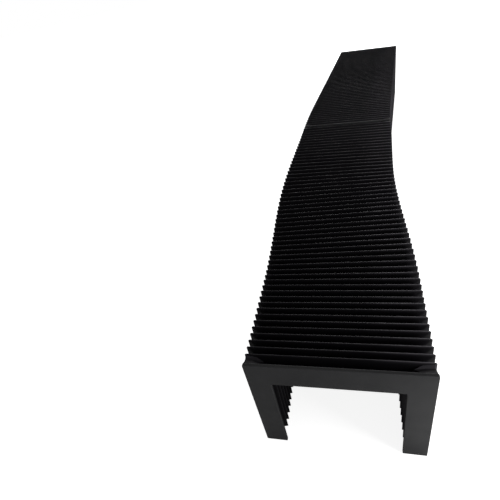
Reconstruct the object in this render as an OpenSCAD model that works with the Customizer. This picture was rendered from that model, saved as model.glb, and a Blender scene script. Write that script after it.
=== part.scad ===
// Accordion way cover with a U section: a front and a rear run of folded laminate, glued between
// two end frames and a joining frame. It stands on its feet at Z = 0, the front face is at Y = 0,
// and it lies with a slight bend to the right, as a limp cover does off its rail. Millimetres.

/* [Cover] */
// Width across the frames and the crests
cover_w = 150; // [110:1:240]
// Height from the feet to the top
cover_h = 125; // [90:1:200]
// Length of the front run as it lies, from the end frame to the joining frame
front_len = 504; // [400:1:700]
// Length of the rear run as it lies, from the joining frame to the end frame
rear_len = 523; // [400:1:700]

/* [Frames] */
// Thickness of the two end frames
end_t = 3; // [2:0.5:6]
// Thickness of the joining frame
join_t = 2; // [1:0.5:4]
// Width of the end frames' legs
leg_w = 21; // [16:0.5:30]
// Height of the end frames' top bar
bar_h = 25.5; // [16:0.5:36]
// Width of the joining frame's legs and bar
join_w = 21; // [16:0.5:30]
// Radius of the frames' outer corners
outer_r = 1.5; // [0.5:0.25:5]
// Radius of the corners of the opening in a frame
inner_r = 1; // [0.5:0.25:5]

/* [Folds] */
// Folds in each run
folds = 53; // [40:1:60]
// Depth of a fold, from its crest to the valley
fold_depth = 19.5; // [14:0.5:28]
// Thickness of the laminate
skin = 1; // [0.6:0.1:1.4]
// Width of the pressed crease along a crest
crease_w = 1.2; // [0.6:0.1:2]
// Cut across the two upper corners of a crest
crest_cut = 2; // [1:0.25:6]
// Spacing of the first folds, as a share of the widest spacing in the front run
bunching = 0.7; // [0.5:0.05:1]
// Distance from the front frame to the first crest
first_gap = 9; // [6:0.5:12]
// Distance from each other frame face to the crest beside it
end_gap = 10; // [6:0.5:12]
// How far the glued flange stays inside the edge of its frame
flange_edge = 2; // [1:0.5:6]
// Glue line between a flange and its frame
glue_t = 0.3; // [0.2:0.05:0.5]
// How far the corner tucks beside the frames reach in along the top
tuck_reach = 17; // [10:0.5:24]
// How far a corner tuck dips along its middle
tuck_dip = 1.6; // [1:0.1:2.5]

/* [Lie] */
// How far to the right the rear end lies
rear_shift = 56; // [0:1:80]
// Turn of the rear end, clockwise from above, in degrees
rear_angle = 14; // [0:0.5:18]
// How far the front run sways to the left
sway = 7; // [0:0.5:12]

/* [Hidden] */

black = [0.07, 0.07, 0.08];
frame_grey = [0.17, 0.17, 0.18];
eps = 0.01;

// Places along Y of the faces that the two runs are glued to
front_start = end_t;
join_start = front_start + front_len;
rear_start = join_start + join_t;
rear_face = rear_start + rear_len;

// Shares of the length at which the bend and the turn begin and end
bend_from = 0.376;
bend_full = 0.606;
turn_from = 0.23;
turn_full = 0.81;
sway_from = 0.2;
sway_to = 0.95;
// How far the crests turn with the sway, as a share of its own turn
sway_follow = 0.75;
// Share of the front run over which the spacing widens
widening = 0.77;

// A valley's corner is an inward offset of the crest's cut corner, and never quite sharp
corner_shrink = 2 - sqrt(2);
least_cut = 0.8;
apex_w = 0.3;

// How far the corner tucks stay inside the frames' sides, and below their tops
tuck_inset = 0.5;
tuck_drop = 1.3;

function clamp(t) = max(0, min(1, t));
function ease(t) = let (u = clamp(t)) u * u * (3 - 2 * u);

// Sideways place and turn of the cover at a distance y behind the front face
function bend(y) = let (
    a = bend_from * rear_face, b = bend_full * rear_face,
    slope = rear_shift / (rear_face - (a + b) / 2)
  ) y < a ? 0 : y < b ? slope * pow(y - a, 2) / (2 * (b - a)) : slope * (y - (a + b) / 2);
function swing(y) = 180 * clamp((y / front_len - sway_from) / (sway_to - sway_from));
function side(y) = bend(y) - sway * pow(sin(swing(y)), 2);
function turn(y) = let (steepest = sway * PI / (front_len * (sway_to - sway_from)))
  sway_follow * atan(steepest * sin(2 * swing(y)))
  - rear_angle * ease((y / rear_face - turn_from) / (turn_full - turn_from));

// A point of the section at y, x to the right and z up, placed where the cover lies
function lay(y, x, z) = [side(y) + x * cos(turn(y)), y + x * sin(turn(y)), z];

// Outline of the cover at a depth below its crests, from the left foot over the top to the right one
function outline(depth) = let (
    w = cover_w / 2 - depth, h = cover_h - depth,
    c = max(least_cut, crest_cut - corner_shrink * depth)
  ) [[-w, 0], [-w, h - c], [-w + c, h], [w - c, h], [w, h - c], [w, 0]];

// Share of the way from the first crest to the last, for crests that start closer together
function widened(s) = let (u = s / widening)
  s < widening ? widening * (pow(u, 3) - pow(u, 4) / 2) : s - widening / 2;
function crest_share(s, close) = (close * s + (1 - close) * widened(s)) / (close + (1 - close) * widened(1));

// How far the laminate's thickness reaches down inside a crest, where a panel spans half a spacing
function apex(half) = skin * fold_depth / (half + skin);

// The laminate's two faces along a run, as pairs of [distance, depth], outside face first
function run_pairs(length, near, far, close) = let (
    crest = [for (i = [0:folds - 1]) near + (length - near - far) * crest_share(i / (folds - 1), close)],
    stop = [for (i = [0:folds]) i == 0 ? 0 : i == folds ? length : (crest[i - 1] + crest[i]) / 2],
    glued = glue_t + skin
  ) concat(
    [[[glued, flange_edge], [glue_t, flange_edge]],
     [[glued, fold_depth - apex(near)], [glue_t, fold_depth]]],
    [for (i = [0:folds - 1]) let (half = (stop[i + 1] - stop[i]) / 2, a = apex(half)) each concat(
      [[[crest[i] - crease_w / 2, 0], [crest[i] - apex_w / 2, a]],
       [[crest[i] + crease_w / 2, 0], [crest[i] + apex_w / 2, a]]],
      i == folds - 1 ? [] : [[[stop[i + 1], fold_depth - a], [stop[i + 1], fold_depth]]])],
    [[[length - glued, fold_depth - apex(far)], [length - glue_t, fold_depth]],
     [[length - glued, flange_edge], [length - glue_t, flange_edge]]]
  );

// One run of folded laminate: the pairs carried round the outline, closed at both ends and feet
module bellows_run(start, length, near, far, close) {
  pairs = run_pairs(length, near, far, close);
  n = len(pairs);
  corners = len(outline(0));
  points = [for (pair = pairs) for (k = [0:corners - 1]) for (face = pair)
    let (y = start + face[0], p = outline(face[1])[k]) lay(y, p[0], p[1])];
  function id(j, k, face) = (j * corners + k) * 2 + face;
  function quad(a, b, c, d) = [[a, b, c], [a, c, d]];
  faces = [
    for (j = [0:n - 2]) for (k = [0:corners - 2]) each concat(
      quad(id(j, k, 0), id(j + 1, k, 0), id(j + 1, k + 1, 0), id(j, k + 1, 0)),
      quad(id(j, k, 1), id(j, k + 1, 1), id(j + 1, k + 1, 1), id(j + 1, k, 1))),
    for (k = [0:corners - 2]) each concat(
      quad(id(0, k, 0), id(0, k + 1, 0), id(0, k + 1, 1), id(0, k, 1)),
      quad(id(n - 1, k + 1, 0), id(n - 1, k, 0), id(n - 1, k, 1), id(n - 1, k + 1, 1))),
    for (j = [0:n - 2]) each concat(
      quad(id(j + 1, 0, 0), id(j, 0, 0), id(j, 0, 1), id(j + 1, 0, 1)),
      quad(id(j, corners - 1, 0), id(j + 1, corners - 1, 0), id(j + 1, corners - 1, 1), id(j, corners - 1, 1)))
  ];
  polyhedron(points, faces, convexity = 10);
}

// The two corner tucks beside a plate, where the laminate's corners are folded in between the flange and
// the first crest. The run lies towards +Y of the plate when way is 1, and towards -Y when it is -1.
module corner_tucks(plate, way, gap) {
  side_x = cover_w / 2 - tuck_inset;
  top_z = cover_h - tuck_drop;
  middle = gap / 2;
  // Each half hangs between its edge, on the flange or under the crest, and the fold along the middle
  fold = [[middle, cover_w / 2 - tuck_reach, top_z - 2 * tuck_dip], [middle, side_x, top_z - tuck_dip]];
  for (s = [-1, 1], y = [glue_t, gap - crease_w / 2]) let (
      edge = [[y, side_x, top_z], [y, cover_w / 2 - tuck_reach / 2, top_z - tuck_dip / 2]]
    ) patch([for (p = concat(edge, fold)) lay(plate + way * p[0], s * p[1], p[2])]);
}

// A patch of laminate between four upper corners, in order
module patch(corners) {
  hull() polyhedron(concat(corners, [for (c = corners) c - [0, 0, skin]]),
    [[0, 1, 2, 3], [7, 6, 5, 4], [0, 4, 5, 1], [1, 5, 6, 2], [2, 6, 7, 3], [3, 7, 4, 0]]);
}

// Profile of a flat U frame with rounded corners, standing on its feet
module frame_profile(leg, bar) {
  w = cover_w / 2;
  inside = w - leg;
  difference() {
    translate([-w, 0]) square([cover_w, cover_h]);
    for (s = [-1, 1]) translate([s * w, cover_h]) mirror([s > 0 ? 1 : 0, 0]) corner(outer_r);
    difference() {
      translate([-inside, -eps]) square([2 * inside, cover_h - bar + eps]);
      for (s = [-1, 1]) translate([s * inside, cover_h - bar]) mirror([s > 0 ? 1 : 0, 0]) corner(inner_r);
    }
  }
}

// What a radius takes from an upper left corner at the origin
module corner(r) {
  difference() {
    translate([-eps, -r]) square([r + eps, r + eps]);
    translate([r, -r]) circle(r, $fn = 48);
  }
}

module frame_plate(y, thick, leg, bar) {
  translate([side(y), y, 0]) rotate([0, 0, turn(y)]) translate([0, thick, 0]) rotate([90, 0, 0])
    linear_extrude(thick) frame_profile(leg, bar);
}

module front_end_frame() { color(frame_grey) frame_plate(0, end_t, leg_w, bar_h); }

module front_bellows() {
  color(black) {
    bellows_run(front_start, front_len, first_gap, end_gap, bunching);
    corner_tucks(front_start, 1, first_gap);
    corner_tucks(join_start, -1, end_gap);
  }
}

module joining_frame() { color(frame_grey) frame_plate(join_start, join_t, join_w, join_w); }

module rear_bellows() {
  color(black) {
    bellows_run(rear_start, rear_len, end_gap, end_gap, 1);
    corner_tucks(rear_start, 1, end_gap);
    corner_tucks(rear_face, -1, end_gap);
  }
}

module rear_end_frame() { color(frame_grey) frame_plate(rear_face, end_t, leg_w, bar_h); }

front_end_frame();
front_bellows();
joining_frame();
rear_bellows();
rear_end_frame();
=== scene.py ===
"""Accordion way cover: two runs of folded coated cloth between three flat U frames.

The folded runs grow from one Geometry Nodes tree. Each is made in groups of folds that meet in the
valleys, so that the groups can follow the slides evenly. Lengths are in metres."""
import math

import bmesh
import bpy
from bpy.props import FloatProperty, FloatVectorProperty, IntProperty, PointerProperty
from mathutils import Matrix, Vector
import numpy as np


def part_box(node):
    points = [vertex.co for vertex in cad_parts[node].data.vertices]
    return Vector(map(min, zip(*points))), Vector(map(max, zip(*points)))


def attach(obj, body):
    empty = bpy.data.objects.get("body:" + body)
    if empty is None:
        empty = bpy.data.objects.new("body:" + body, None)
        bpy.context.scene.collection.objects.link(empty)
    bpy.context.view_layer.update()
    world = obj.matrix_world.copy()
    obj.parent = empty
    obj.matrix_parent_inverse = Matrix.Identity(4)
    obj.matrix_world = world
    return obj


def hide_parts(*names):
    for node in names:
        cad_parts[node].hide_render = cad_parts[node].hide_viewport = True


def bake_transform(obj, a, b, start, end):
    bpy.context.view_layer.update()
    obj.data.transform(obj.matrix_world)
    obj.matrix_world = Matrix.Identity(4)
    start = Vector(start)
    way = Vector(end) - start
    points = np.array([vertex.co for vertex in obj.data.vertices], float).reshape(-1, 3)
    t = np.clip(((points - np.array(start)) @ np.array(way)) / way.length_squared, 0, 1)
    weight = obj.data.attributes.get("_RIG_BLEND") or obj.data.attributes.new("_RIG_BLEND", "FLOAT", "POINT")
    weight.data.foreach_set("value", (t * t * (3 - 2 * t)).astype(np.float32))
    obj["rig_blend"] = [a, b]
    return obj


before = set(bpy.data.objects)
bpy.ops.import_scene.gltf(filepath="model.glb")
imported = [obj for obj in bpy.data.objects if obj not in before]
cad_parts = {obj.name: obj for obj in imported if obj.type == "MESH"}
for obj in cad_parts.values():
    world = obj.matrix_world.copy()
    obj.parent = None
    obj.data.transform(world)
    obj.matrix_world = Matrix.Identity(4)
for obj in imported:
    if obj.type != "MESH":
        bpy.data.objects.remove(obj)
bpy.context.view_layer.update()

bl_info = {
    "name": "Accordion way cover",
    "version": (1, 0, 0),
    "blender": (4, 5, 0),
    "location": "View3D > Sidebar > Way cover",
    "description": "Builds the looks of a folded way cover round its fixed frame",
    "category": "Add Mesh",
}

MM = 0.001


def middle(node):
    """Middle of a node of the frame at rest."""
    low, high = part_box(node)
    return (low + high) / 2


# Sizes that the frame gives
END_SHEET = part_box("front_end_frame")[1].y
JOINING_SHEET = 2 * MM
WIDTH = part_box("front_end_frame")[1].x * 2
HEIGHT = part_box("front_end_frame")[1].z
JOINING_FACE = middle("joining_frame").y - JOINING_SHEET / 2
REAR_FACE = middle("rear_end_frame").y - END_SHEET / 2
REAR_SHIFT = middle("rear_end_frame").x
FRONT_LENGTH = JOINING_FACE - END_SHEET
REAR_START = JOINING_FACE + JOINING_SHEET

# Shares of the length at which the bend, the turn and the sway begin and end
BEND_FROM, BEND_FULL = 0.376, 0.606
TURN_FROM, TURN_FULL = 0.23, 0.81
SWAY_FROM, SWAY_TO = 0.2, 0.95
# How far the crests turn with the sway, as a share of its own turn
SWAY_FOLLOW = 0.75
# Share of the front run over which its spacing widens
WIDENING = 0.77
# A valley's corner is an inward offset of the crest's cut corner
CORNER_SHRINK = 2 - math.sqrt(2)
LEAST_CUT = 0.8 * MM

# Section of half a fold from its crest to the valley, as the sheet's outside sees it. A row of LAND
# has the place across the pressed land and below it, in half lands, and how pale it is, partly for
# the pressing and partly as a painted highlight. A row of PANEL has the place down the panel as a
# length and as a share, how far the face stands off the panel's line, and the paleness, the same painted
# highlight running a little down the panel.
LAND = ((0, 0, 1), (0.36, 0.07, 1), (0.7, 0.26, 0.85), (0.95, 0.62, 0.5))
PANEL = (
    (1.2 * MM, 0, -0.12 * MM, 0.12),
    (2.4 * MM, 0, 0.06 * MM, 0),
    (0, 0.5, 0.1 * MM, 0),
    (-1.6 * MM, 1, 0.06 * MM, 0),
    (0, 1, 0, 0),
)
STEPS = len(LAND) + len(PANEL) - 1
# Stations of a group before its folds and after them: one that closes its end, and the flange's
CLOSING = 2
# Half the outline of a fold, from a foot up to the cut corner and in to the middle of the top. Each
# row has the place from the square corner in cuts, the share of the side and of the top, and how far
# the crest's paleness is taken back there, as painted shade on the cut corners.
HALF_OUTLINE = (
    (0, -1.4, 0.0, 0, 0), (0, -1.4, 0.35, 0, 0), (0, -1.4, 0.7, 0, 0), (0, -1.4, 1, 0, 0),
    (0.08, -1.0, 1, 0, 1), (0.3, -0.7, 1, 0, 1), (0.7, -0.3, 1, 0, 0.6), (1.0, -0.08, 1, 0, 0.1),
    (1.4, 0, 1, 0.0, 0), (1.4, 0, 1, 0.25, 0), (1.4, 0, 1, 0.5, 0), (1.4, 0, 1, 0.75, 0),
    (1.4, 0, 1, 1, 0),
)
# A crest's wander: turns of the noise in a metre along it and from fold to fold, and its detail
WANDER_ALONG, WANDER_STEP, WANDER_DETAIL = 9, 1.37, 1.5
# Vertices nearer than this are one: in the folds, in the tucks and in a frame sheet
FOLD_WELD, TUCK_WELD, SHEET_WELD = 0.02 * MM, 0.01 * MM, 0.001 * MM
# Edges of the folds that are sharper than this are shaded sharp
SHARP = math.radians(30)
# Folds in the groups of a run, from one plate to the other
GROUPS = (3, 1, 1, 2, 2, 3, 4, 5, 6, 5, 5, 4, 3, 2, 2, 1, 1, 3)
# Share of a run at each plate over which its folds take up the slide's motion
RUN_IN = 0.05

# Corner tucks of the cloth beside a frame: how far they reach from the corner, how far they dip
# along their middle beside it, how far they stay inside it, and the share of the reach over which
# they hang on to the flange and the crest
TUCK_REACH, TUCK_DIP, TUCK_DROP, TUCK_HELD = 17 * MM, 1.6 * MM, 0.7 * MM, 0.5
# Their dip at the corner and at their tips, in dips, and how fast it deepens towards the middle
TUCK_CORNER, TUCK_TIP, TUCK_HOLLOW = 0.4, 2, 1.6
# Their distance from the plate and from the middle of the crest, and their thickness in laminates
TUCK_PLATE_GAP, TUCK_CREST_GAP, TUCK_SKIN = 0.1 * MM, 0.6 * MM, 0.6
# How pale they are painted under the crest, as a painted highlight: at most frames, at the front one, and
# less so at the tips
TUCK_HIGHLIGHT, FRONT_TUCK_HIGHLIGHT, TUCK_HIGHLIGHT_FADE = 0.8, 4, 0.7
# Faces across a tuck and along it
TUCK_CELLS = (10, 24)

# A frame sheet's faces round a corner, and the widths of the band of faces inside its edges and of
# the line on either side of its broken edges
ARC_STEPS = 5
EDGE_BAND, EDGE_LINE = 1.6 * MM, 0.1 * MM

# How pale the creases are painted, partly as wear and partly as painted highlight: all over, less so at
# the rear, and more so, as painted highlights, on the right-hand side and beside the left-hand edge of the
# rear
WEAR_AND_HIGHLIGHT_ALL, PALE_LESS_AT_REAR, RIGHT_SIDE_HIGHLIGHT, REAR_LEFT_HIGHLIGHT = 0.22, 0.17, 0.9, 0.6
# Where these begin and are full, as distances behind the front and from the middle of the top
REAR_LOOK, RIGHT_SIDE, LEFT_EDGE = (0.25, 0.7), (0.03, 0.07), (0.062, 0.074)
# Sizes of the patches that are rubbed alike: of the cloth's creases and of the plastic's edges
CLOTH_PATCH, EDGE_PATCH = 0.03, 0.007
# Sizes of the smears and the specks of dust on the cloth and the plastic, and the dust's colour
CLOTH_MARKS, CLOTH_DUST = {"Smear size": 0.09, "Speck size": 0.0016}, (0.09, 0.09, 0.095)
PLASTIC_MARKS, PLASTIC_DUST = {"Smear size": 0.05, "Speck size": 0.0011}, (0.12, 0.12, 0.13)
# Sizes of the coating's grain, the plastic's grain and its scratches, and the depth of both grains
CLOTH_GRAIN, PLASTIC_GRAIN, SCRATCH, GRAIN_DEPTH = 0.0016, 0.0009, 0.02, 0.05 * MM

# Half the floor's side, how white it is to the camera near the cover, and the distances from the
# cover's middle at which it starts to whiten and is fully white
FLOOR_HALF, FLOOR_NEAR, FLOOR_FADE = 12.0, 0.88, (0.7, 1.6)
# The lamps: place, what each points at, or else the cover's middle, and side
LAMPS = {
    "top": ((-0.5, 0.9, 1.9), None, 1.6),
    "back": ((0.3, 2.6, 0.75), None, 1.2),
    "side": ((0.4, 0.25, 0.3), (0.05, 0.25, 0.1), 0.3),
    "front": ((0.27, -0.07, 0.16), (0.06, 0, 0.04), 0.1),
}


class CoverSizes(bpy.types.PropertyGroup):
    """Sizes of the folded runs and how the cover lies."""
    folds: IntProperty(name="Folds", description="Folds in each run", default=53, min=10, max=90)
    fold_depth: FloatProperty(
        name="Fold depth", description="From a crest to the valley", default=19.5 * MM,
        unit="LENGTH")
    skin: FloatProperty(
        name="Laminate", description="Thickness of the laminate", default=1 * MM, unit="LENGTH")
    crease: FloatProperty(
        name="Crease", description="Width of the pressed land along a crest", default=1.2 * MM,
        unit="LENGTH")
    cut: FloatProperty(
        name="Corner cut", description="Cut across a crest's upper corners", default=1 * MM,
        unit="LENGTH")
    bunching: FloatProperty(
        name="Bunching", description="First spacing as a share of the widest in the front run",
        default=0.7, min=0.5, max=1, subtype="FACTOR")
    first_gap: FloatProperty(
        name="First gap", description="From the front frame to the first crest", default=9 * MM,
        unit="LENGTH")
    end_gap: FloatProperty(
        name="End gap", description="From each other frame to the crest beside it",
        default=10 * MM, unit="LENGTH")
    flange_edge: FloatProperty(
        name="Flange edge", description="How far a glued flange stays inside its frame's edge",
        default=2 * MM, unit="LENGTH")
    glue: FloatProperty(
        name="Glue line", description="Glue under a flange", default=0.3 * MM, unit="LENGTH")
    unevenness: FloatProperty(
        name="Unevenness", description="How far a crest wanders from its straight line",
        default=0.6 * MM, unit="LENGTH")
    rear_turn: FloatProperty(
        name="Rear turn", description="Turn of the rear end, seen from above",
        default=math.radians(-14), unit="ROTATION")
    sway: FloatProperty(
        name="Sway", description="How far the front run sways to the left", default=7 * MM,
        unit="LENGTH")


class FrameSizes(bpy.types.PropertyGroup):
    """Sizes of the flat U frames."""
    leg: FloatProperty(
        name="Leg", description="Width of the end frames' legs", default=21 * MM, unit="LENGTH")
    bar: FloatProperty(
        name="Bar", description="Height of the end frames' top bar", default=25.5 * MM,
        unit="LENGTH")
    joining: FloatProperty(
        name="Joining width", description="Width of the joining frame's legs and bar",
        default=21 * MM, unit="LENGTH")
    outer_radius: FloatProperty(
        name="Outer radius", description="Radius of the outer corners", default=1.5 * MM,
        unit="LENGTH")
    inner_radius: FloatProperty(
        name="Inner radius", description="Radius of the opening's corners", default=1 * MM,
        unit="LENGTH")
    foot_radius: FloatProperty(
        name="Foot radius", description="Radius of the corners at the feet", default=0.8 * MM,
        unit="LENGTH")
    broken_edge: FloatProperty(
        name="Broken edge", description="Width of the edge's small chamfer", default=0.35 * MM,
        unit="LENGTH")


class Looks(bpy.types.PropertyGroup):
    """Colours and finish."""
    cloth: FloatVectorProperty(
        name="Cloth", description="Coated cloth of the panels", subtype="COLOR", size=3,
        default=(0.0050, 0.0042, 0.0060), min=0, max=1)
    # A paler copy of the cloth at the rear, which paints the sheen of grazing light there
    rear_sheen_cloth: FloatVectorProperty(
        name="Dusty cloth", description="The same cloth at the rear, where dust lies on it",
        subtype="COLOR", size=3, default=(0.017, 0.0163, 0.019), min=0, max=1)
    # The crest colour is partly the pressed, stretched coating and partly a painted highlight along the
    # crests
    crest: FloatVectorProperty(
        name="Crest", description="Pressed crease, where the coating is stretched",
        subtype="COLOR", size=3, default=(0.054, 0.050, 0.058), min=0, max=1)
    plastic: FloatVectorProperty(
        name="Sheet plastic", description="Plastic of the frames", subtype="COLOR", size=3,
        default=(0.0195, 0.0195, 0.0215), min=0, max=1)
    sawn_edge: FloatVectorProperty(
        name="Sawn edge", description="Sawn edge of the sheet, rougher than its face",
        subtype="COLOR", size=3, default=(0.0035, 0.0035, 0.004), min=0, max=1)
    worn_edge: FloatVectorProperty(
        name="Worn edge", description="Narrow broken edge between the face and the sawn edge",
        subtype="COLOR", size=3, default=(0.05, 0.05, 0.053), min=0, max=1)
    thread: FloatProperty(
        name="Thread", description="Pitch of the cloth's weave", default=0.55 * MM, unit="LENGTH")


class StageSetting(bpy.types.PropertyGroup):
    """Floor, light and camera."""
    floor: FloatVectorProperty(
        name="Floor", description="Colour of the floor", subtype="COLOR", size=3,
        default=(0.86, 0.86, 0.86), min=0, max=1)
    mirrored: FloatProperty(
        name="Mirrored floor", description="Share of the floor's white that glossy faces mirror",
        default=0.08, min=0, max=1, subtype="FACTOR")
    ambient: FloatProperty(
        name="Ambient", description="Strength of the even light", default=0.12, min=0)
    top: FloatProperty(
        name="Top lamp", description="Power of the large lamp overhead", default=4, min=0,
        unit="POWER")
    back: FloatProperty(
        name="Back lamp", description="Power of the lamp beyond the rear end", default=50, min=0,
        unit="POWER")
    side: FloatProperty(
        name="Side lamp", description="Power of the lamp at the right", default=1.1, min=0,
        unit="POWER")
    front: FloatProperty(
        name="Front lamp", description="Power of the small lamp low at the front right",
        default=0.37, min=0, unit="POWER")
    eye: FloatVectorProperty(
        name="Camera place", description="Where the camera stands", subtype="TRANSLATION", size=3,
        default=(0.0241, -0.1742, 0.3854))
    heading: FloatProperty(
        name="Heading", description="Turn of the view to the left of straight ahead",
        default=math.radians(20.7), unit="ROTATION")
    dip: FloatProperty(
        name="Dip", description="How far the view points down", default=math.radians(36.6),
        unit="ROTATION")
    roll: FloatProperty(
        name="Roll", description="Turn of the picture about the view", default=math.radians(-14.6),
        unit="ROTATION")
    lens: FloatProperty(
        name="Lens", description="Focal length on a 36 mm frame", default=27.3, min=10)


def math_method(operation, swapped=False):
    """A method of Field that adds one Math node; a swapped one puts the field last."""
    def method(self, *others):
        values = (self, *others)
        return self.sum_of(operation, *(reversed(values) if swapped else values))
    return method


class Field:
    """A number in a node tree. Sums with it add Math nodes, so a rule reads as it is written."""

    def __init__(self, tree, socket):
        self.tree, self.socket = tree, socket

    def sum_of(self, operation, *values):
        node = add_node(self.tree, "ShaderNodeMath", operation=operation)
        for slot, value in zip(node.inputs, values):
            plug(self.tree, value, slot)
        return Field(self.tree, node.outputs[0])

    __add__, __radd__ = math_method("ADD"), math_method("ADD", swapped=True)
    __sub__, __rsub__ = math_method("SUBTRACT"), math_method("SUBTRACT", swapped=True)
    __mul__, __rmul__ = math_method("MULTIPLY"), math_method("MULTIPLY", swapped=True)
    __truediv__, __rtruediv__ = math_method("DIVIDE"), math_method("DIVIDE", swapped=True)
    __lt__, __gt__, __abs__ = map(math_method, ("LESS_THAN", "GREATER_THAN", "ABSOLUTE"))
    floor, sine, cosine = map(math_method, ("FLOOR", "SINE", "COSINE"))
    arctangent, least, most = map(math_method, ("ARCTANGENT", "MINIMUM", "MAXIMUM"))

    def __neg__(self):
        return 0 - self

    def share(self):
        """This field, kept between 0 and 1."""
        return self.least(1).most(0)

    def pick(self, yes, no):
        """yes where this field is 1 and no where it is 0."""
        return no + self * (yes - no)


def add_node(tree, kind, **settings):
    """A new node, placed in rows so that the tree can be read."""
    node = tree.nodes.new(kind)
    count = len(tree.nodes)
    node.location = (190 * (count // 10), -170 * (count % 10))
    for name, value in settings.items():
        setattr(node, name, value)
    return node


def plug(tree, value, slot):
    """Links a field or socket to a node's input, or sets a plain value there."""
    if isinstance(value, Field):
        value = value.socket
    if isinstance(value, bpy.types.NodeSocket):
        tree.links.new(value, slot)
    else:
        slot.default_value = value


def linked(tree, kind, wires, out=0, **settings):
    """A new node with its inputs plugged by name or number, as one of its outputs."""
    node = add_node(tree, kind, **settings)
    for name, value in wires.items():
        plug(tree, value, node.inputs[name])
    return Field(tree, node.outputs[out])


def bare_tree(owner):
    """The node tree of a material or a world, emptied."""
    owner.use_nodes = True
    owner.node_tree.nodes.clear()
    return owner.node_tree


def new_object(name, data):
    """An object in the scene with this mesh, lamp or camera."""
    made = bpy.data.objects.new(name, data)
    bpy.context.scene.collection.objects.link(made)
    return made


def parts_of(tree, vector):
    """The three numbers of a vector."""
    node = add_node(tree, "ShaderNodeSeparateXYZ")
    plug(tree, vector, node.inputs[0])
    return [Field(tree, node.outputs[i]) for i in range(3)]


def vector_of(tree, x, y, z):
    return linked(tree, "ShaderNodeCombineXYZ", {0: x, 1: y, 2: z})


def row_of(tree, index, rows):
    """The numbers in the row that index gives, three at a time."""
    found = []
    for start in range(0, len(rows[0]), 3):
        node = add_node(tree, "GeometryNodeIndexSwitch", data_type="VECTOR")
        while len(node.index_switch_items) < len(rows):
            node.index_switch_items.new()
        plug(tree, index, node.inputs[0])
        for i, row in enumerate(rows):
            three = (*row[start:start + 3], 0, 0)[:3]
            node.inputs[i + 1].default_value = three
        found += parts_of(tree, node.outputs[0])
    return found[:len(rows[0])]


FOLD_INPUTS = {
    **dict.fromkeys(("Folds", "First fold", "Folds here"), "Int"),
    **dict.fromkeys((
        "Start", "Length", "Near gap", "Far gap", "Bunching", "Width", "Height", "Depth", "Skin",
        "Crease", "Cut", "Flange edge", "Glue", "Unevenness", "Front length", "Rear face",
        "Rear shift", "Rear turn", "Sway", "Seed"), "Float"),
    "Cloth": "Material",
}


def new_tree(name, kind, inputs, outputs):
    """A node tree with named sockets: the tree, its inputs as fields and its output node."""
    tree = bpy.data.node_groups.new(name, kind)
    for way, sockets in (("OUTPUT", outputs), ("INPUT", inputs)):
        for label, socket in sockets.items():
            tree.interface.new_socket(label, in_out=way, socket_type="NodeSocket" + socket)
    source, out = add_node(tree, "NodeGroupInput"), add_node(tree, "NodeGroupOutput")
    return tree, {label: Field(tree, source.outputs[label]) for label in inputs}, out


def eased(t):
    u = t.share()
    return u * u * (3 - 2 * u)


def widened(s):
    """Distance at a share s of a run whose spacing grows from nothing to its full width."""
    u = s / WIDENING
    return (s < WIDENING).pick(WIDENING * (u * u * u - u * u * u * u / 2), s - WIDENING / 2)


def crest_place(fold, given):
    """Distance from the run's first plate to the crest of a fold."""
    s = fold / (given["Folds"] - 1)
    close = given["Bunching"]
    part = (close * s + (1 - close) * widened(s)) / (close + (1 - close) * (1 - WIDENING / 2))
    return given["Near gap"] + (given["Length"] - given["Near gap"] - given["Far gap"]) * part


def lie_of(y, given):
    """Sideways place and turn of the cover at a distance behind the front face."""
    front, rear, sway = given["Front length"], given["Rear face"], given["Sway"]
    from_y, full_y = BEND_FROM * rear, BEND_FULL * rear
    halfway = (from_y + full_y) / 2
    slope = given["Rear shift"] / (rear - halfway)
    past = (y - from_y).most(0)
    bend = (y < full_y).pick(slope * past * past / (2 * (full_y - from_y)), slope * (y - halfway))
    phase = ((y / front - SWAY_FROM) / (SWAY_TO - SWAY_FROM)).share() * math.pi
    swing = phase.sine()
    steepest = sway * math.pi / (front * (SWAY_TO - SWAY_FROM))
    turn = given["Rear turn"] * eased((y / rear - TURN_FROM) / (TURN_FULL - TURN_FROM))
    turn = turn + SWAY_FOLLOW * (steepest * (phase * 2).sine()).arctangent()
    return bend - sway * swing * swing, turn


def section_rows():
    """Rows for half a fold: places on land and panel, stand-off, paleness, and 1 on the panel."""
    land = [(a, b, 0, 0, 0, pale, 0) for a, b, pale in LAND]
    panel = [(0, 0, down, part, off, pale, 1) for down, part, off, pale in PANEL]
    return land + panel


def face_place(tree, given, q, crest, near_side, span, plain_span, inside):
    """Distance, depth and paleness of one face of the laminate at step q of a fold."""
    half_land = given["Crease"] / 2
    apex = given["Skin"] * given["Depth"] / (plain_span + given["Skin"])
    reach = given["Depth"] - apex
    step = STEPS - q if inside else q
    a, b, down, part, off, pale, on_panel = row_of(tree, step, section_rows())
    depth = on_panel.pick(down + part * reach, b * half_land)
    along = on_panel.pick(half_land + (span - half_land) * (depth / reach) + off, a * half_land)
    if inside:
        depth, along = given["Depth"] - depth, span - along
    return near_side.pick(crest - along, crest + along), depth, pale


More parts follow.
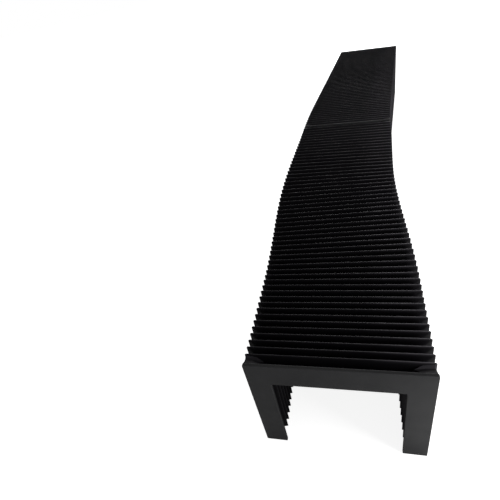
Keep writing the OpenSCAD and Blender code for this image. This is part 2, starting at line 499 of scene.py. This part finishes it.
def folded_cloth_tree():
    """Geometry Nodes: a group of folds of a run, as one closed sleeve of laminate in its place."""
    tree, given, out = new_tree(
        "folded_cloth", "GeometryNodeTree", FOLD_INPUTS, {"Geometry": "Geometry"})
    here, first, folds = given["Folds here"], given["First fold"], given["Folds"]
    depth_of_fold, skin, glue = given["Depth"], given["Skin"], given["Glue"]
    columns = 2 * len(HALF_OUTLINE) - 1
    per_fold = 2 * STEPS
    stations = here * per_fold + (2 * CLOSING + 1)
    grid = add_node(tree, "GeometryNodeMeshGrid")
    plug(tree, stations - 1, grid.inputs["Size X"])
    plug(tree, stations, grid.inputs["Vertices X"])
    plug(tree, 2 * columns, grid.inputs["Size Y"])
    plug(tree, 2 * columns + 1, grid.inputs["Vertices Y"])
    place = parts_of(tree, add_node(tree, "GeometryNodeInputPosition").outputs[0])
    station = (place[0] + (stations - 1) / 2 + 0.5).floor()
    ring = (place[1] + columns + 0.5).floor()

    # Which fold and step a station is, between the closing stations at both ends
    core = (station - CLOSING).most(0).least(here * per_fold)
    fold_here = (core / per_fold).floor().least(here - 1)
    fold = first + fold_here
    phase = core - fold_here * per_fold
    near_side = phase < STEPS - 0.5
    q = abs(phase - STEPS)
    at_start = (fold < 0.5) * near_side
    at_end = (fold > folds - 1.5) * (1 - near_side)
    crest = crest_place(fold, given)
    valley = near_side.pick(
        (crest_place((fold - 1).most(0), given) + crest) / 2,
        (crest_place((fold + 1).least(folds - 1), given) + crest) / 2)
    valley = at_start.pick(0, at_end.pick(given["Length"], valley))
    span = abs(valley - crest)
    plate = at_start.most(at_end)
    outer = face_place(tree, given, q, crest, near_side, span - plate * (glue + skin), span, False)
    inner = face_place(tree, given, q, crest, near_side, span - plate * glue, span, True)

    # A station at a plate runs back up it as the glued flange
    flange = plate * ((station < 1.5).most(station > stations - 2.5))
    cap = (station < 0.5).most(station > stations - 1.5)
    is_inside = (ring > columns - 0.5) * (ring < 2 * columns - 0.5)
    inward = cap.pick(0.5, is_inside)
    distance = outer[0] + inward * (inner[0] - outer[0])
    depth = flange.pick(given["Flange edge"], outer[1] + inward * (inner[1] - outer[1]))
    pale = (1 - cap) * (outer[2] + is_inside * (inner[2] - outer[2])) * (1 - flange)

    # Where the ring is on the outline at that depth
    column = is_inside.pick(2 * columns - 1 - ring, (ring > 2 * columns - 0.5).pick(0, ring))
    from_foot = column.least(columns - 1 - column)
    side = (column > len(HALF_OUTLINE) - 0.5).pick(-1, 1)
    # The last column gives the painted shade that takes back a crest's paleness on its cut corners
    from_corner, below_corner, up, across, edge_paint = row_of(tree, from_foot, HALF_OUTLINE)
    cut = (given["Cut"] - CORNER_SHRINK * depth).most(LEAST_CUT)
    x = side * (depth - given["Width"] / 2 + cut * from_corner) * (1 - across)
    z = (given["Height"] - depth + cut * below_corner) * up

    # A crest wanders a little from its straight line, and each does so in its own way
    own = vector_of(tree, x * WANDER_ALONG, fold * WANDER_STEP + given["Seed"], z * WANDER_ALONG)
    wander = linked(tree, "ShaderNodeTexNoise", {
        "Vector": own, "Scale": 1.0, "Detail": WANDER_DETAIL}, out="Color")
    shift_y, shift_z, _ = parts_of(tree, wander)
    loose = (1 - depth / depth_of_fold).share() * (1 - flange)
    y = distance + given["Start"] + given["Unevenness"] * loose * (shift_y - 0.5)
    z = z + given["Unevenness"] * loose * (shift_z - 0.5) * up
    shift, turn = lie_of(y, given)
    placed = vector_of(tree, shift + x * turn.cosine(), y + x * turn.sine(), z)

    # The attributes go on first, because they read the grid's own places too
    down_side = side * (z - given["Height"] - given["Width"] / 2)
    girth = (across > 0).most(from_corner > 0).pick(x, down_side)
    developed = depth_of_fold * 2 * fold + near_side.pick(-1, 1) * depth
    tone = linked(tree, "FunctionNodeRandomValue", {2: 0.0, 3: 1.0, "ID": fold, "Seed": 7}, out=1)
    mesh = grid.outputs["Mesh"]
    for name, kind, domain, value in (
        ("UVMap", "FLOAT2", "CORNER", vector_of(tree, girth, developed, 0)),
        # crease is the crest's paleness, partly the pressing and partly a painted highlight
        ("crease", "FLOAT", "POINT", pale),
        # corner is the painted shade that darkens a crest's paleness on its cut corners
        ("corner", "FLOAT", "POINT", edge_paint * pale),
        ("fold_tone", "FLOAT", "POINT", tone),
    ):
        mesh = linked(tree, "GeometryNodeStoreNamedAttribute", {
            "Geometry": mesh, "Name": name, "Value": value}, data_type=kind, domain=domain)
    angle = linked(tree, "GeometryNodeInputMeshEdgeAngle", {})
    for kind, label, wires, settings in (
        ("SetPosition", "Geometry", {"Position": placed}, {}),
        ("MergeByDistance", "Geometry", {"Distance": FOLD_WELD}, {}),
        ("FlipFaces", "Mesh", {}, {}),
        ("SetShadeSmooth", "Geometry", {"Shade Smooth": True}, {}),
        ("SetShadeSmooth", "Geometry", {"Selection": angle > SHARP, "Shade Smooth": False},
         {"domain": "EDGE"}),
        ("RealizeInstances", "Geometry", {}, {}),
        ("SetMaterial", "Geometry", {"Material": given["Cloth"]}, {}),
    ):
        mesh = linked(tree, "GeometryNode" + kind, {label: mesh, **wires}, **settings)
    plug(tree, mesh, out.inputs["Geometry"])
    return tree


def grown(name, tree, values):
    """The plain mesh object that a tree gives with these inputs."""
    seed = new_object(name + "_seed", bpy.data.meshes.new(name + "_seed"))
    modifier = seed.modifiers.new("Grow", "NODES")
    modifier.node_group = tree
    for item in tree.interface.items_tree:
        if item.in_out == "INPUT":
            modifier[item.identifier] = values[item.name]
    bpy.context.view_layer.update()
    evaluated = seed.evaluated_get(bpy.context.evaluated_depsgraph_get())
    mesh = bpy.data.meshes.new_from_object(evaluated, preserve_all_data_layers=True,
                                           depsgraph=bpy.context.evaluated_depsgraph_get())
    bpy.data.objects.remove(seed)
    # The tree adds its material behind the grid's empty slot
    while mesh.materials[0] is None:
        mesh.materials.pop(index=0)
    mesh.attributes["material_index"].data.foreach_set("value", [0] * len(mesh.polygons))
    mesh.name = name
    return new_object(name, mesh)


def clamped(t):
    """t, kept between 0 and 1."""
    return min(1, max(0, t))


def lie_at(y, sizes):
    """Sideways place and turn behind the front face, as lie_of() has it in the tree."""
    from_y, full_y = BEND_FROM * REAR_FACE, BEND_FULL * REAR_FACE
    halfway = (from_y + full_y) / 2
    slope = rear_shift(sizes) / (REAR_FACE - halfway)
    if y < full_y:
        bend = slope * max(y - from_y, 0) ** 2 / (2 * (full_y - from_y))
    else:
        bend = slope * (y - halfway)
    phase = math.pi * clamped((y / FRONT_LENGTH - SWAY_FROM) / (SWAY_TO - SWAY_FROM))
    steepest = sizes.sway * math.pi / (FRONT_LENGTH * (SWAY_TO - SWAY_FROM))
    u = clamped((y / REAR_FACE - TURN_FROM) / (TURN_FULL - TURN_FROM))
    turn = sizes.rear_turn * u * u * (3 - 2 * u)
    turn += SWAY_FOLLOW * math.atan(steepest * math.sin(2 * phase))
    return bend - sizes.sway * math.sin(phase) ** 2, turn


def rear_shift(sizes):
    """Sideways place of the rear frame's inner face, from the middle of its sheet."""
    return REAR_SHIFT + END_SHEET / 2 * math.sin(sizes.rear_turn)


def eased_in(u):
    """Share of a motion that starts softly over RUN_IN and is even from there on."""
    steep = 1 / (1 - RUN_IN)
    return steep * (u - RUN_IN / 2) if u > RUN_IN else steep * u ** 2 / (2 * RUN_IN)


def unsmooth(w):
    """The t at which t * t * (3 - 2 * t) is w."""
    return 0.5 - math.sin(math.asin(1 - 2 * clamped(w)) / 3)


class Run:
    """One run of folds between two plates, and how it follows its slide."""

    def __init__(self, sizes, name, node, start, length, near_gap, bunching, fixed, moving, seed):
        self.sizes, self.name, self.node, self.seed = sizes, name, node, seed
        self.start, self.length, self.near_gap, self.bunching = start, length, near_gap, bunching
        self.fixed, self.moving = fixed, moving
        near, far = self.plate(start), self.plate(start + length)
        turn = (near[1] + far[1]) / 2
        self.way = Vector((math.sin(turn), -math.cos(turn), 0))
        spread = WIDTH / 2 * abs(math.sin((near[1] - far[1]) / 2))
        self.still = far[0].dot(self.way) + spread
        self.travel = near[0].dot(self.way) - spread - self.still

    def plate(self, y):
        shift, turn = lie_at(y, self.sizes)
        return Vector((shift, y, 0)), turn

    def crest(self, fold):
        """Place of a crest along the run, as crest_place() has it in the tree."""
        s = fold / (self.sizes.folds - 1)
        u = s / WIDENING
        grown_share = WIDENING * (u ** 3 - u ** 4 / 2) if s < WIDENING else s - WIDENING / 2
        close = self.bunching
        along = (close * s + (1 - close) * grown_share) / (close + (1 - close) * (1 - WIDENING / 2))
        return self.near_gap + (self.length - self.near_gap - self.sizes.end_gap) * along

    def valley(self, count):
        """Distance along the way of the valley before fold number count."""
        if count == 0:
            y = 0
        elif count == self.sizes.folds:
            y = self.length
        else:
            y = (self.crest(count - 1) + self.crest(count)) / 2
        return self.plate(self.start + y)[0].dot(self.way)

    def part_moved(self, place):
        """Share of the slide's motion at a distance along the way, soft beside both plates."""
        u = clamped((place - self.still) / self.travel)
        return 1 - eased_in(1 - u) if u > 0.5 else eased_in(u)

    def window(self, first, last):
        """Start and end of the blend that gives a group the run's motion at both its valleys."""
        far, near = self.valley(last), self.valley(first)
        t_far = unsmooth(self.part_moved(far))
        t_near = unsmooth(self.part_moved(near))
        far, near = max(far, self.still), min(near, self.still + self.travel)
        stretch = (near - far) / (t_near - t_far)
        start = far - t_far * stretch
        return self.way * start, self.way * (start + stretch)

    def tree_values(self, cloth):
        """Inputs of the tree that all the run's groups share."""
        sizes = self.sizes
        return {
            "Folds": sizes.folds, "Start": self.start, "Length": self.length,
            "Near gap": self.near_gap, "Far gap": sizes.end_gap, "Bunching": self.bunching,
            "Width": WIDTH, "Height": HEIGHT, "Depth": sizes.fold_depth, "Skin": sizes.skin,
            "Crease": sizes.crease, "Cut": sizes.cut, "Flange edge": sizes.flange_edge,
            "Glue": sizes.glue, "Unevenness": sizes.unevenness, "Front length": FRONT_LENGTH,
            "Rear face": REAR_FACE, "Rear shift": rear_shift(sizes), "Rear turn": sizes.rear_turn,
            "Sway": sizes.sway, "Seed": self.seed, "Cloth": cloth,
        }

    def make(self, tree, cloth):
        """Makes the run's groups of folds, with the tucks in the first and the last."""
        values, first = self.tree_values(cloth), 0
        for number, count in enumerate(GROUPS, 1):
            values.update({"First fold": first, "Folds here": count})
            piece = grown(f"{self.name}_{number:02d}", tree, values)
            if first == 0:
                join(piece, corner_tucks(self, False, cloth))
            if first + count == self.sizes.folds:
                join(piece, corner_tucks(self, True, cloth))
            start, end = self.window(first, first + count)
            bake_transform(piece, self.fixed, self.moving, start=start, end=end)
            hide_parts(self.node)
            self.flat_of(first, count)
            first += count

    def flat_of(self, first, count):
        """Width and length of the cloth in a group of folds, before it is folded."""
        sizes, length = self.sizes, 0
        for fold in range(first, first + count):
            crest = self.crest(fold)
            before = (self.crest(fold - 1) + crest) / 2 if fold else 0
            after = (self.crest(fold + 1) + crest) / 2 if fold < sizes.folds - 1 else self.length
            for half in (crest - before, after - crest):
                length += math.hypot(sizes.fold_depth, half)
        flanges = (first == 0) + (first + count == sizes.folds)
        girth = WIDTH + 2 * HEIGHT - 2 * CORNER_SHRINK * sizes.cut
        return girth, length + flanges * (sizes.fold_depth - sizes.flange_edge)


def u_outline(inset, leg, bar, sizes):
    """Loop of x and z round a U sheet on its feet, moved into the sheet by inset."""
    half, inside, under = WIDTH / 2, WIDTH / 2 - leg, HEIGHT - bar
    foot, outer, inner = sizes.foot_radius, sizes.outer_radius, sizes.inner_radius
    # Corners in order, with a radius that is negative where the corner is hollow
    corners = (
        (-half, 0, foot), (-half, HEIGHT, outer), (half, HEIGHT, outer), (half, 0, foot),
        (inside, 0, foot), (inside, under, -inner), (-inside, under, -inner), (-inside, 0, foot),
    )
    places = [Vector((x, z)) for x, z, _ in corners]
    loop = []
    for i, (_, _, radius) in enumerate(corners):
        here, following = places[i], places[(i + 1) % len(places)]
        arriving, leaving = (here - places[i - 1]).normalized(), (following - here).normalized()
        set_in = max(radius, inset) if radius > 0 else -radius
        bend = max(radius - inset, 0) if radius > 0 else inset - radius
        centre = here + (leaving - arriving) * set_in
        for step in range(ARC_STEPS + 1):
            angle = math.pi / 2 * step / ARC_STEPS
            loop.append(centre + bend * (arriving * math.sin(angle) - leaving * math.cos(angle)))
    return loop


def frame_sheet(name, node, y, thick, leg, bar, edge_paint, sizes, lie, finish):
    """A flat U of sheet plastic with broken edges, standing where its node of the frame does.

    edge_paint says how much wear the edges of its front and of its back face show."""
    chamfer = sizes.broken_edge
    # Loops from the front face round the edge to the back face: inset, depth, wear, sawn or not
    rings = (
        (chamfer + EDGE_BAND, 0, 0, 0), (chamfer + EDGE_LINE, 0, 0, 0),
        (chamfer, 0, edge_paint[0], 0), (0, chamfer, edge_paint[0], 0),
        (0, chamfer + EDGE_LINE, 0, 1), (0, thick - chamfer - EDGE_LINE, 0, 1),
        (0, thick - chamfer, edge_paint[1], 0), (chamfer, thick, edge_paint[1], 0),
        (chamfer + EDGE_LINE, thick, 0, 0), (chamfer + EDGE_BAND, thick, 0, 0),
    )
    bm = bmesh.new()
    edge, sawn = bm.verts.layers.float.new("edge"), bm.verts.layers.float.new("sawn")
    loops = []
    for inset, depth, wear, cut in rings:
        loop = [bm.verts.new((p.x, depth, p.y)) for p in u_outline(inset, leg, bar, sizes)]
        for vertex in loop:
            vertex[edge], vertex[sawn] = wear, cut
        loops.append(loop)
    for loop, following in zip(loops, loops[1:]):
        for i in range(len(loop)):
            j = (i + 1) % len(loop)
            bm.faces.new((loop[i], following[i], following[j], loop[j]))
    bm.faces.new(loops[0])
    bm.faces.new(reversed(loops[-1]))
    bmesh.ops.remove_doubles(bm, verts=bm.verts, dist=SHEET_WELD)
    bmesh.ops.recalc_face_normals(bm, faces=bm.faces)
    mesh = bpy.data.meshes.new(name)
    bm.to_mesh(mesh)
    bm.free()
    shift, turn = lie_at(y, lie)
    mesh.transform(Matrix.Translation((shift, y, 0)) @ Matrix.Rotation(turn, 4, "Z"))
    mesh.materials.append(finish)
    piece = new_object(name, mesh)
    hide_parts(node)
    return piece


def tuck_place(t, s, gap):
    """Place in from the side, from the plate and below the top of a tuck, s from plate to crest.

    t runs from -1, down the side, through 0 at the corner, to 1 along the top."""
    fold, along = abs(2 * s - 1), abs(t)
    hanging = along < TUCK_HELD
    past = (along - TUCK_HELD) / (1 - TUCK_HELD)
    spread = 1 if hanging else (1 - along) / (1 - TUCK_HELD)
    edge = along if hanging else TUCK_HELD + (TUCK_TIP - TUCK_HELD) * past
    border = TUCK_PLATE_GAP if s < 0.5 else gap - TUCK_CREST_GAP
    reach = gap / 2 + spread * (border - gap / 2) * fold
    hollow = 1 - fold ** TUCK_HOLLOW
    middle_dip = TUCK_CORNER + (TUCK_TIP - TUCK_CORNER) * along
    at_corner = TUCK_DROP + TUCK_CORNER * TUCK_DIP * hollow
    drop = TUCK_DROP + TUCK_DIP * (middle_dip * hollow + edge * (1 - hollow))
    away = at_corner + along * (TUCK_REACH - at_corner)
    return (away, reach, drop) if t > 0 else (drop, reach, away)


def corner_tucks(run, at_far_plate, cloth):
    """Mesh of the two gussets of cloth folded in between a frame and the first crest beside it."""
    gap = run.sizes.end_gap if at_far_plate else run.near_gap
    # The tucks' painted highlight is strongest at the front frame
    wear_and_highlight = FRONT_TUCK_HIGHLIGHT if run.start == END_SHEET and not at_far_plate else TUCK_HIGHLIGHT
    bm = bmesh.new()
    crease, place_u, place_v = (bm.verts.layers.float.new(name) for name in ("crease", "u", "v"))

    def add_vertex(side, t, s, below):
        inwards, reach, down = tuck_place(t, s, gap)
        y = run.start + (run.length - reach if at_far_plate else reach)
        shift, turn = lie_at(y, run.sizes)
        x = side * (WIDTH / 2 - inwards - (below if t <= 0 else 0))
        z = HEIGHT - down - (below if t >= 0 else 0)
        vertex = bm.verts.new((shift + x * math.cos(turn), y + x * math.sin(turn), z))
        # The half under the crest is painted paler as a painted highlight, most of all at its outer corner
        vertex[crease] = wear_and_highlight * clamped(2 * s - 1) * (1 - TUCK_HIGHLIGHT_FADE * abs(t))
        vertex[place_u], vertex[place_v] = side * (WIDTH / 2 - t * TUCK_REACH), reach
        return vertex

    across, along = TUCK_CELLS
    for side in (-1, 1):
        top, bottom = ([[
            add_vertex(side, 2 * i / along - 1, j / across, below) for j in range(across + 1)
        ] for i in range(along + 1)] for below in (0, run.sizes.skin * TUCK_SKIN))
        for i in range(along):
            for j in range(across):
                for rows in (top, bottom):
                    bm.faces.new((rows[i][j], rows[i][j + 1], rows[i + 1][j + 1], rows[i + 1][j]))
            for j in (0, across):
                bm.faces.new((top[i][j], top[i + 1][j], bottom[i + 1][j], bottom[i][j]))
        for j in range(across):
            for i in (0, along):
                bm.faces.new((top[i][j], top[i][j + 1], bottom[i][j + 1], bottom[i][j]))
    bmesh.ops.remove_doubles(bm, verts=bm.verts, dist=TUCK_WELD)
    bmesh.ops.recalc_face_normals(bm, faces=bm.faces)
    uv = bm.loops.layers.uv.new("UVMap")
    for face in bm.faces:
        for loop in face.loops:
            loop[uv].uv = loop.vert[place_u], loop.vert[place_v]
    for layer in ("u", "v"):
        bm.verts.layers.float.remove(bm.verts.layers.float[layer])
    mesh = bpy.data.meshes.new("tucks")
    bm.to_mesh(mesh)
    bm.free()
    mesh.shade_smooth()
    mesh.materials.append(cloth)
    return mesh


def join(piece, mesh):
    """Adds a mesh to a piece's own."""
    added = new_object(mesh.name, mesh)
    with bpy.context.temp_override(active_object=piece, selected_editable_objects=[piece, added]):
        bpy.ops.object.join()


def noise(tree, vector, size, detail=2.0, rough=0.5):
    """Noise from 0 to 1 with features of about a size, in metres."""
    return linked(tree, "ShaderNodeTexNoise", {
        "Vector": vector, "Scale": 1 / size, "Detail": detail, "Roughness": rough})


def ramp(tree, value, low, high):
    """0 below low and 1 above high, eased between."""
    return linked(tree, "ShaderNodeMapRange", {
        "Value": value, "From Min": low, "From Max": high, "To Min": 0.0, "To Max": 1.0},
        interpolation_type="SMOOTHSTEP")


def weave_group():
    """Plain weave that shows through the coating: over one thread and under the next."""
    sockets = {"Vector": "Vector", "Pitch": "Float"}
    tree, given, out = new_tree("coated_weave", "ShaderNodeTree", sockets, {"Height": "Float"})
    u, v, _ = parts_of(tree, given["Vector"])
    warp, weft = u / given["Pitch"] * math.pi, v / given["Pitch"] * math.pi
    plug(tree, 0.5 + 0.5 * (warp.sine() * weft.sine()), out.inputs["Height"])
    return tree


def handling_group():
    """Marks of handling: faint broad smears, and small specks of dust in patches."""
    tree, given, out = new_tree(
        "handling_marks", "ShaderNodeTree",
        {"Vector": "Vector", "Smear size": "Float", "Speck size": "Float"},
        {"Smear": "Float", "Specks": "Float"})
    where, speck_size = given["Vector"], given["Speck size"]
    smear = noise(tree, where, given["Smear size"], 4.0, 0.6)
    speck = linked(tree, "ShaderNodeTexVoronoi", {"Vector": where, "Scale": 1 / speck_size})
    patch = noise(tree, where, 4 * speck_size, 1.0)
    plug(tree, ramp(tree, smear, 0.35, 0.7), out.inputs["Smear"])
    plug(tree, (1 - ramp(tree, speck, 0.08, 0.2)) * ramp(tree, patch, 0.6, 0.68),
         out.inputs["Specks"])
    return tree


def attribute(tree, name):
    """An attribute of the surface."""
    return linked(tree, "ShaderNodeAttribute", {}, out="Fac", attribute_name=name)


def mixed(tree, mask, low, high):
    """A colour between two, by a mask."""
    node = add_node(tree, "ShaderNodeMix", data_type="RGBA")
    plug(tree, mask, node.inputs[0])
    for slot, value in ((node.inputs[6], low), (node.inputs[7], high)):
        plug(tree, (*value, 1) if isinstance(value, (tuple, list)) else value, slot)
    return Field(tree, node.outputs[2])


def group_node(tree, group, wires):
    """A shader group placed in a material, and its outputs by name."""
    node = add_node(tree, "ShaderNodeGroup")
    node.node_tree = group
    for label, value in wires.items():
        plug(tree, value, node.inputs[label])
    return {out.name: Field(tree, out) for out in node.outputs}


def bump(tree, height, strength):
    """Normals of a fine relief."""
    return linked(tree, "ShaderNodeBump", {
        "Height": height, "Distance": GRAIN_DEPTH, "Strength": strength})


def surface(name, fill):
    """Makes a Principled material; fill builds its pattern and returns the inputs to plug."""
    tree = bare_tree(bpy.data.materials.new(name))
    shader = linked(tree, "ShaderNodeBsdfPrincipled", fill(tree))
    plug(tree, shader, add_node(tree, "ShaderNodeOutputMaterial").inputs["Surface"])


def coated_cloth(looks, weave, handling):
    """Satin black coated cloth, paler along the creases with wear and painted highlight, and paler at the
    rear as a painted sheen.
    """
    def fill(tree):
        uv = add_node(tree, "ShaderNodeUVMap", uv_map="UVMap").outputs[0]
        where = add_node(tree, "ShaderNodeTexCoord").outputs["Object"]
        marks = group_node(tree, handling, {"Vector": where, **CLOTH_MARKS})
        threads = group_node(tree, weave, {"Vector": uv, "Pitch": looks.thread})
        crease, edge_paint, tone = (attribute(tree, name) for name in ("crease", "corner", "fold_tone"))
        across, behind = parts_of(tree, uv)[0], parts_of(tree, where)[1]
        rubbed = noise(tree, where, CLOTH_PATCH, 1.0)
        far = ramp(tree, behind, *REAR_LOOK)
        # The creases are painted paler, partly as wear and partly as painted highlight, with painted
        # highlights on the right-hand side and by the rear's left-hand edge
        wear_and_highlight = WEAR_AND_HIGHLIGHT_ALL - PALE_LESS_AT_REAR * far + RIGHT_SIDE_HIGHLIGHT * ramp(tree, across + 0.02 * rubbed, *RIGHT_SIDE)
        wear_and_highlight = wear_and_highlight + REAR_LEFT_HIGHLIGHT * far * ramp(tree, -across, *LEFT_EDGE)
        # Painted shade takes the paleness back on the crests' cut corners
        pale = (crease * wear_and_highlight * (0.75 + 0.5 * rubbed) * (1 - 0.75 * edge_paint)).share()
        # The rear gets a paler cloth colour, a painted sheen
        plain = mixed(tree, far, tuple(looks.cloth), tuple(looks.rear_sheen_cloth))
        clean = mixed(tree, pale, plain, tuple(looks.crest))
        dust = marks["Specks"] * 0.2 + marks["Smear"] * 0.008
        height = threads["Height"] * (1 - crease * 0.6) + 0.6 * noise(tree, where, CLOTH_GRAIN, 2.0)
        return {
            "Base Color": mixed(tree, dust, clean, CLOTH_DUST),
            "Roughness": 0.5 + 0.08 * marks["Smear"] + 0.08 * tone + 0.06 * rubbed + 0.08 * far,
            "Specular IOR Level": 0.14,
            "Normal": bump(tree, height, 0.25),
        }
    surface("coated_cloth", fill)


def sheet_plastic(looks, handling):
    """Matt black sheet plastic with a fine grain and scratches, edges paler with wear and rough sawn sides.
    """
    def fill(tree):
        where = add_node(tree, "ShaderNodeTexCoord").outputs["Object"]
        marks = group_node(tree, handling, {"Vector": where, **PLASTIC_MARKS})
        edge, sawn = attribute(tree, "edge"), attribute(tree, "sawn")
        grain = noise(tree, where, PLASTIC_GRAIN, 3.0, 0.6)
        rubbed = noise(tree, where, EDGE_PATCH, 3.0)
        # The scratches are noise that is drawn out along one way
        drawn = linked(tree, "ShaderNodeMapping", {
            "Vector": where, "Scale": (1, 1, 14), "Rotation": (0, 0.6, 0)})
        scratch = ramp(tree, noise(tree, drawn, SCRATCH, 5.0, 0.7), 0.66, 0.74)
        face = mixed(tree, sawn, tuple(looks.plastic), tuple(looks.sawn_edge))
        colour = mixed(tree, (edge * (0.35 + 0.9 * rubbed)).share(), face, tuple(looks.worn_edge))
        dust = scratch * 0.12 + marks["Specks"] * 0.3 + marks["Smear"] * 0.035
        return {
            "Base Color": mixed(tree, dust, colour, PLASTIC_DUST),
            "Roughness": 0.5 + 0.12 * marks["Smear"] + 0.05 * grain + 0.35 * sawn,
            "Specular IOR Level": 0.52,
            "Normal": bump(tree, grain, 0.35),
        }
    surface("sheet_plastic", fill)


def cover_materials():
    """The cloth and the plastic, made the first time they are asked for."""
    if "coated_cloth" not in bpy.data.materials:
        looks, handling = bpy.context.scene.cover_looks, handling_group()
        coated_cloth(looks, weave_group(), handling)
        sheet_plastic(looks, handling)
    return bpy.data.materials["coated_cloth"], bpy.data.materials["sheet_plastic"]


def runs_of(sizes):
    """The front and the rear run."""
    return (
        Run(sizes, "front_folds", "front_bellows", END_SHEET, FRONT_LENGTH, sizes.first_gap,
            sizes.bunching, "middle", "front", seed=3.0),
        Run(sizes, "rear_folds", "rear_bellows", REAR_START, REAR_FACE - REAR_START, sizes.end_gap,
            1.0, "rear", "middle", seed=71.0),
    )


class COVER_OT_stage(bpy.types.Operator):
    """Sets up the floor, the light and the camera"""
    bl_idname = "cover.stage"
    bl_label = "Stage"

    def execute(self, context):
        setting = context.scene.cover_stage
        make_floor(setting)
        make_light(setting)
        make_camera(setting)
        context.scene.view_settings.view_transform = "Standard"
        return {"FINISHED"}


class COVER_OT_frames(bpy.types.Operator):
    """Makes the two end frames and the joining frame"""
    bl_idname = "cover.frames"
    bl_label = "Frames"

    def execute(self, context):
        sizes, lie = context.scene.cover_frames, context.scene.cover_sizes
        _, plastic = cover_materials()
        end = (END_SHEET, sizes.leg, sizes.bar)
        joining = (JOINING_SHEET, sizes.joining, sizes.joining)
        for name, node, y, (thick, leg, bar), edge_paint, body in (
            ("front_end_sheet", "front_end_frame", 0, end, (1, 0), "front"),
            ("joining_sheet", "joining_frame", JOINING_FACE, joining, (0, 0), "middle"),
            ("rear_end_sheet", "rear_end_frame", REAR_FACE, end, (0, 1), "rear"),
        ):
            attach(frame_sheet(name, node, y, thick, leg, bar, edge_paint, sizes, lie, plastic), body)
        return {"FINISHED"}


class COVER_OT_folds(bpy.types.Operator):
    """Makes the two runs of folded cloth, in groups of folds"""
    bl_idname = "cover.folds"
    bl_label = "Folded runs"

    def execute(self, context):
        sizes, (cloth, _) = context.scene.cover_sizes, cover_materials()
        if sum(GROUPS) != sizes.folds:
            raise ValueError(f"the groups hold {sum(GROUPS)} folds, and a run has {sizes.folds}")
        tree = folded_cloth_tree()
        for run in runs_of(sizes):
            run.make(tree, cloth)
        return {"FINISHED"}


class COVER_PT_panel(bpy.types.Panel):
    """Lists the sizes, the looks and the pieces"""
    bl_label = "Way cover"
    bl_space_type = "VIEW_3D"
    bl_region_type = "UI"
    bl_category = "Way cover"

    def draw(self, context):
        layout = self.layout
        for owner in SETTINGS:
            group = getattr(context.scene, owner)
            box = layout.box()
            box.label(text=type(group).__name__)
            for name in type(group).__annotations__:
                box.prop(group, name)
        for operator in OPERATORS:
            layout.operator(operator.bl_idname)


def make_floor(setting):
    """A wide pale floor that stays white to the camera, apart from the cover's soft shadow."""
    corners = [(x * FLOOR_HALF, y * FLOOR_HALF, 0) for x, y in ((-1, -1), (1, -1), (1, 1), (-1, 1))]
    mesh = bpy.data.meshes.new("floor")
    mesh.from_pydata(corners, [], [(0, 1, 2, 3)])
    made = bpy.data.materials.new("floor_white")
    tree = bare_tree(made)
    path = add_node(tree, "ShaderNodeLightPath").outputs
    camera_ray, glossy_ray = Field(tree, path["Is Camera Ray"]), Field(tree, path["Is Glossy Ray"])
    where = add_node(tree, "ShaderNodeTexCoord").outputs["Object"]
    centre = tuple(middle("joining_frame").xy.to_3d())
    away = linked(tree, "ShaderNodeVectorMath", {0: where, 1: centre}, operation="DISTANCE", out=1)
    seen = camera_ray + setting.mirrored * glossy_ray
    white = FLOOR_NEAR + (1 - FLOOR_NEAR) * ramp(tree, away, *FLOOR_FADE)
    lit = linked(tree, "ShaderNodeBsdfDiffuse", {"Color": (*setting.floor, 1)})
    glow = linked(tree, "ShaderNodeEmission", {"Strength": seen * white})
    both = linked(tree, "ShaderNodeAddShader", {0: lit, 1: glow})
    plug(tree, both, add_node(tree, "ShaderNodeOutputMaterial").inputs["Surface"])
    mesh.materials.append(made)
    floor = new_object("floor", mesh)


def lamp(name, place, aim, size, power):
    """A soft square lamp that points at a place."""
    light = bpy.data.lights.new(name, "AREA")
    light.shape = "SQUARE"
    light.size = size
    light.energy = power
    thing = new_object(name, light)
    thing.location = place
    thing.rotation_euler = (Vector(aim) - Vector(place)).to_track_quat("-Z", "Y").to_euler()


def make_light(setting):
    """An even white surrounding, two large lamps above and behind, two small at the right."""
    world = bpy.data.worlds.new("studio")
    bpy.context.scene.world = world
    tree = bare_tree(world)
    seen = linked(tree, "ShaderNodeLightPath", {}, out="Is Camera Ray")
    ground = linked(tree, "ShaderNodeBackground", {
        "Color": (1, 1, 1, 1), "Strength": seen.pick(1.0, setting.ambient)})
    plug(tree, ground, add_node(tree, "ShaderNodeOutputWorld").inputs["Surface"])
    for name, (place, aim, size) in LAMPS.items():
        lamp(name + "_lamp", place, aim or middle("joining_frame"), size, getattr(setting, name))


def make_camera(setting):
    """The camera of the photograph's view: heading, dip and roll in that order."""
    data = bpy.data.cameras.new("camera")
    data.sensor_width = 36
    data.lens = setting.lens
    data.clip_start, data.clip_end = 0.01, 100
    camera = new_object("camera", data)
    upright = Matrix.Rotation(math.pi / 2, 3, "X")
    turned = Matrix.Rotation(setting.heading, 3, "Z") @ Matrix.Rotation(-setting.dip, 3, "X")
    look = turned @ upright @ Matrix.Rotation(setting.roll, 3, "Z")
    camera.matrix_world = Matrix.Translation(setting.eye) @ look.to_4x4()
    bpy.context.scene.camera = camera


SETTINGS = {
    "cover_sizes": CoverSizes, "cover_frames": FrameSizes, "cover_looks": Looks,
    "cover_stage": StageSetting,
}
OPERATORS = (COVER_OT_stage, COVER_OT_frames, COVER_OT_folds)
CLASSES = (*SETTINGS.values(), *OPERATORS, COVER_PT_panel)


def register():
    for kind in CLASSES:
        bpy.utils.register_class(kind)
    for owner, kind in SETTINGS.items():
        setattr(bpy.types.Scene, owner, PointerProperty(type=kind))


def unregister():
    for owner in SETTINGS:
        delattr(bpy.types.Scene, owner)
    for kind in reversed(CLASSES):
        bpy.utils.unregister_class(kind)


def main():
    register()
    bpy.ops.cover.stage()
    bpy.ops.cover.frames()
    bpy.ops.cover.folds()


if __name__ == "__main__":
    main()
